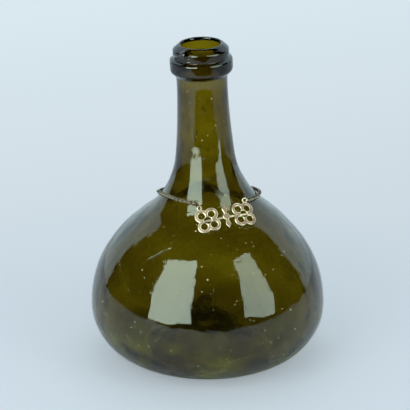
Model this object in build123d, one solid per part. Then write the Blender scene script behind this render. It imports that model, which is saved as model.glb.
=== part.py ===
from build123d import *
import math
import os

# Onion bottle of dark green blown glass, wearing a plated bottle label on a belcher chain.
# Millimetres, +Z up. The origin is the middle of the foot ring, on the table that it stands on.
# A place on the glass is given as (radius from the axis, height along the axis).

# Outside of the blown body, as tangent arcs from the foot up to the neck
belt_r = 70.0            # widest girth
heel_r = 32.2            # rounding from the foot ring up to the belt
upper_belt_r = 64.3      # rounding over the belt
upper_belt_sweep = 37.5  # degrees that it turns through
shoulder_r = 106.0       # flatter rounding of the shoulder
shoulder_end = 52.2      # steepness where the shoulder meets the throat, degrees
throat_r = 53.0          # hollow curve from the shoulder into the neck
throat_end = 6.3
neck_side_r = 433.0      # the neck's sides are almost straight
foot_wear = 0.15         # the foot ring is worn flat by this much

# Wall, kick and mouth
belt_wall = 3.2
foot_wall = 4.6
kick_foot_r = 36.2       # where the foot ring turns in under the base
kick_roll_r = 8.0
kick_slope = 42.0
kick_dome_r = 16.0
floor_roll_r = 12.0      # the same push-up, seen from inside
floor_slope = 44.0
floor_dome_r = 15.0
scar_r = 11.6            # broken glass that the pontil rod left under the kick
scar_wire_r = 1.1
throat_inner_end = 6.0
bore_r = 10.2            # straight bore that the cork grips
bore_bottom = 170.0
bore_top = 190.0
mouth_r = 11.7
mouth_height = 192.8
lip_height = 193.5
lip_crown_r = 12.8

# The neck leans to the left, by one bend in the shoulder
lean = 2.28
bend_start = 78.0
bend_end = 98.0
bend_sections = 6

# Two trails of glass wound round the mouth
rim_bottom = 175.0
rim_r = 18.4
rim_edge_height = 184.4  # top of the rim's side, where its edge turns over
crease_height = 185.6
crease_r = 16.35
lip_bulge_r = 16.45
lip_bulge_height = 188.2
lip_corner = (16.15, 190.5)
lip_edge_height = 192.05
fold_height = 189.9
fold_turn = -37.0        # where the end of the upper trail was pressed down
fold_size = (3.0, 2.5, 1.9)   # half its size up, around and out

# Belcher chain: round links of round wire, each through the next
link_r = 1.075           # to the middle of the wire
end_link_r = 1.30        # the first and last links are larger, for the jump rings
link_wire_r = 0.30
link_pitch = 1.49
link_roll = -25.0        # the links lie rolled over against the glass
links_per_node = 3
chain_gap = 1.40         # middle of the chain to the glass
end_lift = 0.7           # the jump rings hold the chain's ends this much further out
end_reach = 40.0         # how sharply that lift dies away
loop_r = 31.0            # the loop in plan, pushed towards the back and a little to the right
loop_back = 4.6
loop_right = 1.4
loop_oval = 1.4
loop_skew = 0.4
chain_left = -15.5       # turn about the neck where each end of the chain lies, 0 at the front
chain_right = 57.8

# Jump rings that join the chain to the label
ring_r = 2.45
ring_wire_r = 0.35
ring_seat = 0.30         # each ring passes this far beyond the middle of its end link
ring_left_lift = 78.0    # how steeply each ring stands, degrees above level
ring_right_lift = 15.0

# Openwork label: two quatrefoils and a spindle on a crossbar
label_centre = (10.73, -30.13, 97.28)
label_turn = 18.0
label_slope = 44.0
label_roll = 3.5
label_bow_r = 55.0
plate_thickness = 1.0
foil_offset = 11.2
foil_lobe = (2.9, 3.3)
foil_outer_r = 3.9
foil_inner_r = 2.0
foil_core_r = 3.1
spindle_width = 3.3
spindle_height = 14.6
spindle_boss_r = 2.1
crossbar_length = 30.6
crossbar_width = 1.5
crossbar_thickness = 0.9
lug_offset = 14.1
lug_foot = 7.0
lug_r = 1.25
lug_wire_r = 0.35
lug_tilt = 22.0          # the lugs stand steeper than the plates


def sin(degrees):
    return math.sin(math.radians(degrees))


def cos(degrees):
    return math.cos(math.radians(degrees))


def tan(degrees):
    return math.tan(math.radians(degrees))


def polar(centre, radius, degrees):
    return (centre[0] + radius * cos(degrees), centre[1] + radius * sin(degrees))


# Centres of the body's arcs, each on the line through the joint with the arc before
belt_height = heel_r - foot_wear
heel_centre = (belt_r - heel_r, belt_height)
upper_belt_centre = (belt_r - upper_belt_r, belt_height)
shoulder_centre = polar(upper_belt_centre, upper_belt_r - shoulder_r, upper_belt_sweep)
throat_centre = polar(shoulder_centre, shoulder_r + throat_r, shoulder_end)
neck_side_centre = polar(throat_centre, neck_side_r - throat_r, throat_end)
neck_r = neck_side_centre[0] - neck_side_r
neck_side_top = neck_side_centre[1]

# The bend is an arc, so the neck's axis is a straight line that starts where the arc ends
bend_r = (bend_end - bend_start) / math.radians(lean)
neck_up = Vector(-sin(lean), 0, cos(lean))
neck_across = Vector(cos(lean), 0, sin(lean))
bend_top = Vector(-bend_r * (1 - cos(lean)), 0, bend_start + bend_r * sin(lean))
neck_origin = bend_top - neck_up * bend_end
neck_axis = Axis(neck_origin, neck_up)
neck_section = Plane(neck_origin, x_dir=neck_across, z_dir=(0, -1, 0))


def arc_radius(height, grow):
    """Radius of the glass at a height on the shoulder or throat, grown outwards by grow."""
    joint = polar(shoulder_centre, shoulder_r + grow, shoulder_end)[1]
    if height < joint:
        rise = height - shoulder_centre[1]
        return shoulder_centre[0] + math.sqrt((shoulder_r + grow) ** 2 - rise**2)
    drop = throat_centre[1] - height
    return throat_centre[0] - math.sqrt((throat_r - grow) ** 2 - drop**2)


def arc(centre, radius, start, end):
    return CenterArc(centre, radius, start, end - start)


def kick_line(foot_r, foot_height, roll_r, slope, dome_r):
    """The push-up in the base: a roll up from the foot, a straight cone and a domed top."""
    roll_centre = (foot_r, foot_height + roll_r)
    cone_bottom = polar(roll_centre, roll_r, 270 - slope)
    dome_joint_r = dome_r * sin(slope)
    dome_joint = (dome_joint_r, cone_bottom[1] + (cone_bottom[0] - dome_joint_r) * tan(slope))
    dome_centre = (0, dome_joint[1] - dome_r * cos(slope))
    apex = (0, dome_centre[1] + dome_r)
    roll = arc(roll_centre, roll_r, 270, 270 - slope)
    dome = arc(dome_centre, dome_r, 90 - slope, 90)
    return [roll, Line(cone_bottom, dome_joint), dome], apex


def lower_wall():
    """Body from the foot ring up to where the bend starts, turned about the upright axis."""
    kick, kick_apex = kick_line(kick_foot_r, 0, kick_roll_r, kick_slope, kick_dome_r)
    heel_start = -math.degrees(math.asin(belt_height / heel_r))
    inner_shoulder_r = shoulder_r - belt_wall
    outer_turn = math.degrees(math.asin((bend_start - shoulder_centre[1]) / shoulder_r))
    inner_turn = math.degrees(math.asin((bend_start - shoulder_centre[1]) / inner_shoulder_r))
    inner_heel_r = belt_height - foot_wall
    inner_heel_centre = (belt_r - belt_wall - inner_heel_r, belt_height)
    floor, floor_apex = kick_line(
        inner_heel_centre[0], foot_wall, floor_roll_r, floor_slope, floor_dome_r
    )
    outline = [
        *kick,
        Line((kick_foot_r, 0), polar(heel_centre, heel_r, heel_start)),
        arc(heel_centre, heel_r, heel_start, 0),
        arc(upper_belt_centre, upper_belt_r, 0, upper_belt_sweep),
        arc(shoulder_centre, shoulder_r, upper_belt_sweep, outer_turn),
        Line((arc_radius(bend_start, 0), bend_start), (arc_radius(bend_start, -belt_wall), bend_start)),
        arc(shoulder_centre, inner_shoulder_r, upper_belt_sweep, inner_turn),
        arc(upper_belt_centre, upper_belt_r - belt_wall, 0, upper_belt_sweep),
        arc(inner_heel_centre, inner_heel_r, -90, 0),
        *floor,
        Line(kick_apex, floor_apex),
    ]
    wall = revolve(Plane.XZ * make_face(outline), Axis.Z)
    scar_height = kick_apex[1] - kick_dome_r * (1 - cos(kick_slope))
    scar_height -= (scar_r - kick_dome_r * sin(kick_slope)) * tan(kick_slope)
    return wall + Pos(0, 0, scar_height) * Torus(scar_r, scar_wire_r)


def bend_plane(height):
    """Level cut across the bend: its middle runs along an arc that leans over to the left."""
    turn = lean * (height - bend_start) / (bend_end - bend_start)
    middle = Vector(-bend_r * (1 - cos(turn)), 0, bend_start + bend_r * sin(turn))
    return Plane(middle, x_dir=(cos(turn), 0, sin(turn)), z_dir=(-sin(turn), 0, cos(turn)))


def bend_wall():
    """Shoulder between the upright body and the leaning neck, lofted through round cuts."""
    step = (bend_end - bend_start) / (bend_sections - 1)
    heights = [bend_start + i * step for i in range(bend_sections)]
    outside = loft([bend_plane(h) * Circle(arc_radius(h, 0)) for h in heights])
    inside = loft([bend_plane(h) * Circle(arc_radius(h, -belt_wall)) for h in heights])
    return outside - inside


def upper_wall():
    """Throat, neck and mouth, turned about the leaning axis."""
    outer_start = -math.degrees(math.asin((throat_centre[1] - bend_end) / throat_r))
    inner_throat_r = throat_r + belt_wall
    inner_start = -math.degrees(math.asin((throat_centre[1] - bend_end) / inner_throat_r))
    inner_throat_top = polar(throat_centre, inner_throat_r, 180 + throat_inner_end)
    outline = [
        arc(throat_centre, throat_r, 180 - outer_start, 180 + throat_end),
        arc(neck_side_centre, neck_side_r, 180, 180 + throat_end),
        Line((neck_r, neck_side_top), (neck_r, lip_edge_height)),
        ThreePointArc((neck_r, lip_edge_height), (14.0, 192.85), (lip_crown_r, lip_height)),
        ThreePointArc((lip_crown_r, lip_height), (12.1, 193.35), (mouth_r, mouth_height)),
        ThreePointArc((mouth_r, mouth_height), (10.6, 191.6), (bore_r, bore_top)),
        Line((bore_r, bore_top), (bore_r, bore_bottom)),
        Line((bore_r, bore_bottom), inner_throat_top),
        arc(throat_centre, inner_throat_r, 180 - inner_start, 180 + throat_inner_end),
        Line((arc_radius(bend_end, 0), bend_end), (arc_radius(bend_end, -belt_wall), bend_end)),
    ]
    return revolve(neck_section * make_face(outline), neck_axis)


def bottle():
    return lower_wall() + bend_wall() + upper_wall()


def string_rim():
    """Thick trail below the lip, tooled flat round its side, that held the string over the cork."""
    edge_r = rim_r - 0.8
    edge_top = rim_edge_height + 0.65
    outline = [
        Line((neck_r, rim_bottom), (neck_r + 1.1, rim_bottom + 0.3)),
        ThreePointArc((neck_r + 1.1, rim_bottom + 0.3), (17.45, 176.9), (rim_r - 0.2, 179.0)),
        ThreePointArc((rim_r - 0.2, 179.0), (rim_r, 181.7), (rim_r - 0.15, rim_edge_height)),
        ThreePointArc((rim_r - 0.15, rim_edge_height), (rim_r - 0.35, 184.87), (edge_r, edge_top)),
        Line((edge_r, edge_top), (crease_r, crease_height)),
        Line((crease_r, crease_height), (neck_r, crease_height)),
        Line((neck_r, crease_height), (neck_r, rim_bottom)),
    ]
    return revolve(neck_section * make_face(outline), neck_axis)


def neck_place(turn, radius, height):
    """A point about the neck's axis: turn is 0 at the front and grows to the right."""
    across = neck_across * (radius * sin(turn))
    return neck_origin + across + Vector(0, -radius * cos(turn), 0) + neck_up * height


def lip_band():
    """Second trail, round the lip, whose end is pressed down over its start at the front left."""
    outline = [
        Line((neck_r, crease_height), (crease_r, crease_height)),
        ThreePointArc((crease_r, crease_height), (lip_bulge_r, lip_bulge_height), lip_corner),
        ThreePointArc(lip_corner, (15.87, 191.05), (15.4, 191.5)),
        Line((15.4, 191.5), (neck_r, lip_edge_height)),
        Line((neck_r, lip_edge_height), (neck_r, crease_height)),
    ]
    trail = revolve(neck_section * make_face(outline), neck_axis)
    room = [(neck_r, crease_height), (20, crease_height), (20, 192.0), (neck_r, 192.0)]
    room = revolve(neck_section * make_face(Polyline(*room, close=True)), neck_axis)
    middle = neck_place(fold_turn, crease_r - 0.4, fold_height)
    lump = Plane(middle, x_dir=neck_up, z_dir=middle - neck_origin) * scale(Sphere(1), fold_size)
    return trail + (lump & room)


def wire_ring(radius, wire_r, sides, wire_sides):
    """A closed ring of wire, cut as flat facets mitred at each corner, lying level at the origin."""
    rows = []
    for i in range(sides):
        turn = 360 * i / sides
        row = []
        for j in range(wire_sides):
            out = radius + wire_r * cos(360 * j / wire_sides)
            row.append(Vector(out * cos(turn), out * sin(turn), wire_r * sin(360 * j / wire_sides)))
        rows.append(row)
    facets = []
    for i in range(sides):
        here, after = rows[i], rows[(i + 1) % sides]
        for j in range(wire_sides):
            k = (j + 1) % wire_sides
            facets.append(Face(Wire.make_polygon([here[j], after[j], after[k], here[k]])))
    return Solid(Shell(facets))


def loop_radius(turn):
    plan = loop_r - loop_back * cos(turn) + loop_right * sin(turn)
    return plan + loop_oval * cos(2 * turn) + loop_skew * sin(2 * turn)


def loop_point(turn):
    """Middle of the chain where it lies on the throat, and the way that the glass faces there."""
    across = throat_centre[0] - loop_radius(turn)
    near_left = math.exp(-end_reach * (1 - cos(turn - chain_left)))
    near_right = math.exp(-end_reach * (1 - cos(turn - chain_right)))
    gap = chain_gap + end_lift * (near_left + near_right)
    drop = math.sqrt((throat_r - gap) ** 2 - across**2)
    cut = bend_plane(min(throat_centre[1] - drop, bend_end))
    outward = cut.x_dir * sin(turn) - Vector(0, cos(turn), 0)
    rise = throat_centre[1] - drop - min(throat_centre[1] - drop, bend_end)
    point = cut.origin + cut.z_dir * rise + outward * loop_radius(turn)
    return point, (outward * across + cut.z_dir * drop).normalized()


def loop_turns():
    """Turns about the neck of every link, at even steps along the chain from its left end."""
    steps = 720
    span = 360 - (chain_right - chain_left)
    turns = [chain_left - span * i / steps for i in range(steps + 1)]
    runs = [0.0]
    for before, after in zip(turns, turns[1:]):
        runs.append(runs[-1] + (loop_point(after)[0] - loop_point(before)[0]).length)
    count = 2 * round((runs[-1] / link_pitch + 1) / 2)
    pitch = runs[-1] / (count - 1)
    placed = []
    for i in range(count):
        k = max(j for j in range(steps) if runs[j] <= i * pitch + 1e-9)
        share = (i * pitch - runs[k]) / (runs[k + 1] - runs[k])
        placed.append(turns[k] + share * (turns[k + 1] - turns[k]))
    return placed


def chain_end(turn, side, reach):
    """A point this far beyond an end of the chain. Side is -1 for the left end and 1 for the right."""
    away = loop_point(turn - side)[0] - loop_point(turn + side)[0]
    return loop_point(turn)[0] + away.normalized() * reach


def chain_links():
    """Every link, each turned a quarter from its neighbour about the chain's own line."""
    blank = wire_ring(link_r, link_wire_r, 10, 5)
    end_blank = wire_ring(end_link_r, link_wire_r, 10, 5)
    turns = loop_turns()
    links = []
    for i, turn in enumerate(turns):
        point, facing = loop_point(turn)
        ahead = loop_point(turn - 1)[0] - loop_point(turn + 1)[0]
        hole = facing.rotate(Axis((0, 0, 0), ahead), link_roll + 90 * (1 - i % 2))
        side = {0: -1, len(turns) - 1: 1}.get(i)
        if side:
            point = chain_end(turn, side, end_link_r - link_r)
        links.append(Plane(point, x_dir=ahead, z_dir=hole) * (end_blank if side else blank))
    return links, turns


def label_plane():
    outward = Vector(
        sin(label_turn) * cos(label_slope), -cos(label_turn) * cos(label_slope), sin(label_slope)
    )
    level = Vector(cos(label_turn), sin(label_turn), 0)
    across = level.rotate(Axis((0, 0, 0), outward), label_roll)
    return Plane(label_centre, x_dir=across, z_dir=outward)


def bowed(outline, bottom, top):
    """A plate of this outline, bowed about its upright so that it follows the shoulder."""
    bar = extrude(Pos(0, 0, -label_bow_r / 2) * outline, label_bow_r)
    tube = Cylinder(label_bow_r + top, 40) - Cylinder(label_bow_r + bottom, 40)
    return bar & (Pos(0, 0, -label_bow_r) * Rot(90, 0, 0) * tube)


def bow_height(across, height):
    """How far the middle of a bowed plate has fallen back at a distance across it."""
    return math.sqrt((label_bow_r + height) ** 2 - across**2) - label_bow_r


def foil_sketch(lobe_r, core_r):
    shape = Circle(core_r)
    for x in (-foil_lobe[0], foil_lobe[0]):
        for y in (-foil_lobe[1], foil_lobe[1]):
            shape += Pos(x, y) * Circle(lobe_r)
    return shape


def lug_place(side):
    """Middle of the little ring on top of a quatrefoil. Side is -1 for left and 1 for right."""
    foot = Pos(side * lug_offset, lug_foot, bow_height(lug_offset, plate_thickness / 2))
    return foot * Rot(lug_tilt, 0, 0) * Pos(0, lug_r + lug_wire_r / 2, 0)


def foil(side):
    """Pierced quatrefoil with its lug."""
    outline = foil_sketch(foil_outer_r, foil_core_r) - foil_sketch(foil_inner_r, foil_core_r - 0.9)
    plate = bowed(Pos(side * foil_offset, 0) * outline, 0, plate_thickness)
    lug = lug_place(side) * wire_ring(lug_r, lug_wire_r, 14, 8)
    return label_plane() * (plate + lug)


def spindle():
    """Slender bar with a boss in its middle and a pointed end each way."""
    half, tip = spindle_width / 2, spindle_height / 2
    shaft = Polyline((0, tip), (half, tip - 2.4), (0.8, 2), (0.8, -2), (half, 2.4 - tip), (0, -tip),
                     (-half, 2.4 - tip), (-0.8, -2), (-0.8, 2), (-half, tip - 2.4), close=True)
    outline = make_face(shaft) + Circle(spindle_boss_r)
    return label_plane() * bowed(outline, 0, plate_thickness)


def crossbar():
    """Bar soldered behind the three ornaments."""
    bar = Rectangle(crossbar_length, crossbar_width)
    return label_plane() * bowed(bar, -crossbar_thickness, 0)


def jump_ring(side, turn):
    """Wire ring through the lug and the end link. It stands on the line between the two."""
    end = chain_end(turn, side, end_link_r - link_r + ring_seat)
    lug = (label_plane().location * lug_place(side)).position
    lift = ring_left_lift if side < 0 else ring_right_lift
    along = lug - end
    level = Vector(along.Y, -along.X, 0) if side < 0 else Vector(-along.Y, along.X, 0)
    up = level.normalized() * cos(lift) + Vector(0, 0, 1) * sin(lift)
    up = (up - along * (up.dot(along) / along.length**2)).normalized()
    rise = math.sqrt(ring_r**2 - (along.length / 2) ** 2)
    middle = (lug + end) * 0.5 + up * rise
    return Plane(middle, x_dir=up, z_dir=along.cross(up)) * wire_ring(ring_r, ring_wire_r, 18, 8)


def save(name, shape):
    export_step(shape, f"parts/{name}.step")
    print(name, round(shape.volume, 1))


os.makedirs("parts", exist_ok=True)
save("bottle", bottle())
save("string_rim", string_rim())
save("lip_band", lip_band())
links, turns = chain_links()
for i in range(0, len(links), links_per_node):
    save(f"chain_links_{i // links_per_node + 1:02d}", Compound(links[i:i + links_per_node]))
save("left_jump_ring", jump_ring(-1, turns[0]))
save("right_jump_ring", jump_ring(1, turns[-1]))
save("left_quatrefoil", foil(-1))
save("right_quatrefoil", foil(1))
save("spindle", spindle())
save("crossbar", crossbar())
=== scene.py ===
import bpy
import math
import numpy as np
from mathutils import Matrix, Vector


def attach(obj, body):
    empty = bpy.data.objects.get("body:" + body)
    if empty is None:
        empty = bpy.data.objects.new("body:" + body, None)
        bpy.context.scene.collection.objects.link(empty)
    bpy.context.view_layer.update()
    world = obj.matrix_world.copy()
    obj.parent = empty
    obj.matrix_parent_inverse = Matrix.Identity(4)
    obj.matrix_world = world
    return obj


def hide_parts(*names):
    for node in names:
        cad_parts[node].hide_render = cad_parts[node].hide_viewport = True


# Onion bottle of dark olive glass with a plated label on a belcher chain.
# Shapes are worked out in millimetres and put into the meshes in metres.
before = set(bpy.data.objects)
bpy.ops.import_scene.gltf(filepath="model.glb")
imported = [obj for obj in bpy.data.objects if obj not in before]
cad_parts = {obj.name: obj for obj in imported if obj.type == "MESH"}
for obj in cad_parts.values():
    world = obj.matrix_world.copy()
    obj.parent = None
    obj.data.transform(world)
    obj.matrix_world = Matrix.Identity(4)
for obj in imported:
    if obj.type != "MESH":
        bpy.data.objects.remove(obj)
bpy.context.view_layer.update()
mm = 0.001
tau = 2 * math.pi


# Mesh helpers

def meshPiece(name, points, faceSets, body, replaced, material):
    # Puts points in millimetres and arrays of triangles and quads into one smooth mesh piece.
    mesh = bpy.data.meshes.new(name)
    corners = np.concatenate([faces.ravel() for faces in faceSets]).astype(np.int32)
    sizes = np.concatenate([np.full(len(faces), faces.shape[1]) for faces in faceSets])
    mesh.vertices.add(len(points))
    mesh.vertices.foreach_set("co", (points * mm).astype(np.float32).ravel())
    mesh.loops.add(len(corners))
    mesh.loops.foreach_set("vertex_index", corners)
    mesh.polygons.add(len(sizes))
    mesh.polygons.foreach_set("loop_start", (np.cumsum(sizes) - sizes).astype(np.int32))
    mesh.update(calc_edges=True)
    mesh.validate()
    mesh.shade_smooth()
    mesh.materials.append(material)
    piece = bpy.data.objects.new(name, mesh)
    bpy.context.collection.objects.link(piece)
    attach(piece, body)
    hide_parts(*replaced)
    return piece


def gridQuads(rows, columns, closedRows=False, closedColumns=True):
    # Quads of a grid whose index is row * columns + column. The front faces along columns x rows.
    lastRow = rows if closedRows else rows - 1
    lastColumn = columns if closedColumns else columns - 1
    i, j = np.meshgrid(np.arange(lastRow), np.arange(lastColumn), indexing="ij")
    nextRow, nextColumn = (i + 1) % rows, (j + 1) % columns
    corners = [i * columns + j, i * columns + nextColumn, nextRow * columns + nextColumn, nextRow * columns + j]
    return np.stack(corners, -1).reshape(-1, 4)


def ripples(points, seed, wavelength, waves=14, stretch=(1, 1, 1)):
    # Sum of plane waves of one length in random directions, about -1 to 1. Stretch draws them out.
    rng = np.random.default_rng(seed)
    ways = rng.normal(size=(waves, 3))
    ways *= tau / wavelength / np.linalg.norm(ways, axis=1)[:, None]
    phases = rng.uniform(0, tau, waves)
    return np.sin((points / np.array(stretch)) @ ways.T + phases).sum(1) / math.sqrt(waves)


def smoothStep(values, start, end):
    # 0 before start, 1 after end, and 3t^2 - 2t^3 between.
    share = np.clip((values - start) / (end - start), 0, 1)
    return share * share * (3 - 2 * share)


# The bottle's glass

bottleSize = dict(
    beltR=70.0, heelR=32.2, upperBeltR=64.3, upperBeltSweep=37.5, shoulderR=106.0, shoulderEnd=52.2,
    throatR=53.0, throatEnd=6.3, neckSideR=433.0, footWear=0.15, beltWall=3.2, footWall=4.6,
    kickFootR=36.2, kickRollR=8.0, kickSlope=42.0, kickDomeR=16.0,
    floorRollR=12.0, floorSlope=44.0, floorDomeR=15.0, throatInnerEnd=6.0, boreR=11.5, boreBottom=160.0,
    rimBottom=175.0, rimR=18.4, rimEdge=184.4, creaseHeight=185.6, creaseR=16.35,
    lipR=16.45, lipMiddle=188.2, lipHeight=193.5, mouthR=11.85, flare=9.0,
    lean=2.28, bendStart=78.0, bendEnd=98.0,
)
handwork = dict(
    coarseStep=1.9, fineStep=0.32, columns=224,
    outerWave=0.034, outerSwell=0.05, innerWave=0.16, innerSwell=0.30, neckStreak=0.035,
    foldTurn=-37.0, foldHeight=190.6, foldOut=1.25, scarR=11.6, scarWidth=1.1,
    bubbles=260, seed=7,
)


def polar(centre, radius, degrees):
    angle = math.radians(degrees)
    return (centre[0] + radius * math.cos(angle), centre[1] + radius * math.sin(angle))


def arcLine(centre, radius, start, end, step):
    # Points on an arc at even turns, from start up to but without end, in degrees.
    count = max(2, math.ceil(abs(math.radians(end - start)) * radius / step))
    turns = np.radians(np.linspace(start, end, count, endpoint=False))
    return np.stack([centre[0] + radius * np.cos(turns), centre[1] + radius * np.sin(turns)], 1)


def straightLine(start, end, step):
    count = max(1, math.ceil(math.dist(start, end) / step))
    share = np.linspace(0, 1, count, endpoint=False)[:, None]
    return np.array(start) * (1 - share) + np.array(end) * share


def curvedLine(points, step):
    # Catmull-Rom curve through the points: each stretch is a cubic whose slope is half the chord
    # between its neighbours.
    points = np.array(points, float)
    padded = np.vstack([2 * points[0] - points[1], points, 2 * points[-1] - points[-2]])
    parts = []
    for before, start, end, after in zip(padded, padded[1:], padded[2:], padded[3:]):
        count = max(2, math.ceil(np.linalg.norm(end - start) / step))
        t = np.linspace(0, 1, count, endpoint=False)[:, None]
        slope0, slope1 = (end - before) / 2, (after - start) / 2
        parts.append((2 * t**3 - 3 * t**2 + 1) * start + (t**3 - 2 * t**2 + t) * slope0
                     + (3 * t**2 - 2 * t**3) * end + (t**3 - t**2) * slope1)
    return np.vstack(parts)


def pushUp(footR, footHeight, rollR, slope, domeR, step):
    # The kick in the base from its top down to the foot: dome, cone and roll, as in the solid.
    rollCentre = (footR, footHeight + rollR)
    coneBottom = polar(rollCentre, rollR, 270 - slope)
    domeJointR = domeR * math.sin(math.radians(slope))
    rise = (coneBottom[0] - domeJointR) * math.tan(math.radians(slope))
    domeJoint = (domeJointR, coneBottom[1] + rise)
    domeCentre = (0, domeJoint[1] - domeR * math.cos(math.radians(slope)))
    return np.vstack([
        arcLine(domeCentre, domeR, 90, 90 - slope, step),
        straightLine(domeJoint, coneBottom, step),
        arcLine(rollCentre, rollR, 270 - slope, 270, step),
    ])


def bottleProfile():
    # Section of the glass as (radius, height): from the top of the kick under the base, up the
    # outside, over the lip and down the inside to the top of the kick again.
    s, coarse, fine = bottleSize, handwork["coarseStep"], handwork["fineStep"]
    beltHeight = s["heelR"] - s["footWear"]
    heelCentre = (s["beltR"] - s["heelR"], beltHeight)
    upperCentre = (s["beltR"] - s["upperBeltR"], beltHeight)
    shoulderCentre = polar(upperCentre, s["upperBeltR"] - s["shoulderR"], s["upperBeltSweep"])
    throatCentre = polar(shoulderCentre, s["shoulderR"] + s["throatR"], s["shoulderEnd"])
    sideCentre = polar(throatCentre, s["neckSideR"] - s["throatR"], s["throatEnd"])
    rim, rimR, lipR, crease, lip = s["rimBottom"], s["rimR"], s["lipR"], s["creaseHeight"], s["lipHeight"]
    neckR = sideCentre[0] - s["neckSideR"]
    sideEnd = math.degrees(math.asin((sideCentre[1] - rim + s["flare"]) / s["neckSideR"]))
    heelStart = -math.degrees(math.asin(beltHeight / s["heelR"]))
    wall = s["beltWall"]
    innerHeelR = beltHeight - s["footWall"]
    innerHeelCentre = (s["beltR"] - wall - innerHeelR, beltHeight)
    innerThroat = polar(throatCentre, s["throatR"] + wall, 180 + s["throatInnerEnd"])
    outside = [
        pushUp(s["kickFootR"], 0, s["kickRollR"], s["kickSlope"], s["kickDomeR"], coarse),
        straightLine((s["kickFootR"], 0), polar(heelCentre, s["heelR"], heelStart), 0.9),
        arcLine(heelCentre, s["heelR"], heelStart, 0, coarse),
        arcLine(upperCentre, s["upperBeltR"], 0, s["upperBeltSweep"], coarse),
        arcLine(shoulderCentre, s["shoulderR"], s["upperBeltSweep"], s["shoulderEnd"], coarse),
        arcLine(throatCentre, s["throatR"], 180 + s["shoulderEnd"], 180 + s["throatEnd"], coarse * 0.8),
        arcLine(sideCentre, s["neckSideR"], 180 + s["throatEnd"], 180 + sideEnd, coarse * 0.8),
    ]
    edge = s["rimEdge"]
    finish = curvedLine([
        polar(sideCentre, s["neckSideR"], 180 + sideEnd), (neckR + 0.03, rim - 6.0), (neckR + 0.09, rim - 3.5),
        (neckR + 0.27, rim - 1.3), (neckR + 0.55, rim - 0.2), (neckR + 1.2, rim + 0.35), (17.25, rim + 1.6),
        (rimR - 0.2, rim + 2.8), (rimR - 0.04, rim + 3.9), (rimR - 0.01, rim + 5.4), (rimR, rim + 7.0),
        (rimR - 0.008, edge - 1.0), (rimR - 0.045, edge - 0.2), (rimR - 0.18, edge + 0.13), (rimR - 0.45, edge + 0.32),
        (rimR - 0.8, edge + 0.45), (s["creaseR"] + 0.5, crease - 0.25), (s["creaseR"] + 0.12, crease - 0.12),
        (s["creaseR"] - 0.04, crease + 0.05), (s["creaseR"], crease + 0.4), (lipR - 0.04, crease + 1.8),
        (lipR - 0.01, s["lipMiddle"] + 0.4), (lipR - 0.02, 189.9), (lipR - 0.07, 190.4), (lipR - 0.35, 190.8), (15.7, 191.2),
        (15.3, 191.6), (14.6, 192.15), (13.9, 192.8), (12.9, lip), (12.2, lip - 0.1), (s["mouthR"], lip - 0.4),
        (s["boreR"] + 0.15, lip - 1.3), (s["boreR"] + 0.03, lip - 2.4), (s["boreR"], lip - 3.5),
    ], fine)
    inside = [
        curvedLine([(s["boreR"], lip - 3.5), (s["boreR"], lip - 12.0), (s["boreR"] + 0.6, lip - 21.0),
                    (s["boreR"] + 0.3, s["boreBottom"])], coarse),
        straightLine((s["boreR"] + 0.3, s["boreBottom"]), innerThroat, coarse),
        arcLine(throatCentre, s["throatR"] + wall, 180 + s["throatInnerEnd"], 180 + s["shoulderEnd"], coarse),
        arcLine(shoulderCentre, s["shoulderR"] - wall, s["shoulderEnd"], s["upperBeltSweep"], coarse),
        arcLine(upperCentre, s["upperBeltR"] - wall, s["upperBeltSweep"], 0, coarse),
        arcLine(innerHeelCentre, innerHeelR, 0, -90, coarse),
        pushUp(innerHeelCentre[0], s["footWall"], s["floorRollR"], s["floorSlope"], s["floorDomeR"], coarse)[::-1],
    ]
    outer = np.vstack(outside)
    return np.vstack([outer, finish, *inside]), len(outer), len(outer) + len(finish)


def spine(heights):
    # The bottle's middle line: upright, then an arc that leans over, then straight up the neck.
    # Returns its points and its sideways and upward directions.
    s = bottleSize
    lean = math.radians(s["lean"])
    bendR = (s["bendEnd"] - s["bendStart"]) / lean
    angle = lean * np.clip((heights - s["bendStart"]) / (s["bendEnd"] - s["bendStart"]), 0, 1)
    sine, cosine, none = np.sin(angle), np.cos(angle), np.zeros_like(angle)
    past = np.maximum(heights - s["bendEnd"], 0)
    middle = np.stack([-bendR * (1 - cosine) - past * sine, none,
                       np.minimum(heights, s["bendStart"]) + bendR * sine + past * cosine], -1)
    return middle, np.stack([cosine, none, sine], -1), np.stack([-sine, none, cosine], -1)


def bottleSurface(radius, height, turn):
    # Point on the bottle at a radius, height and turn about its leaning middle line, 0 at the front.
    middle, across, up = spine(height)
    front = np.array([0.0, -1.0, 0.0])
    return middle + across * (radius * np.sin(turn))[..., None] + front * (radius * np.cos(turn))[..., None]


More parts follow.
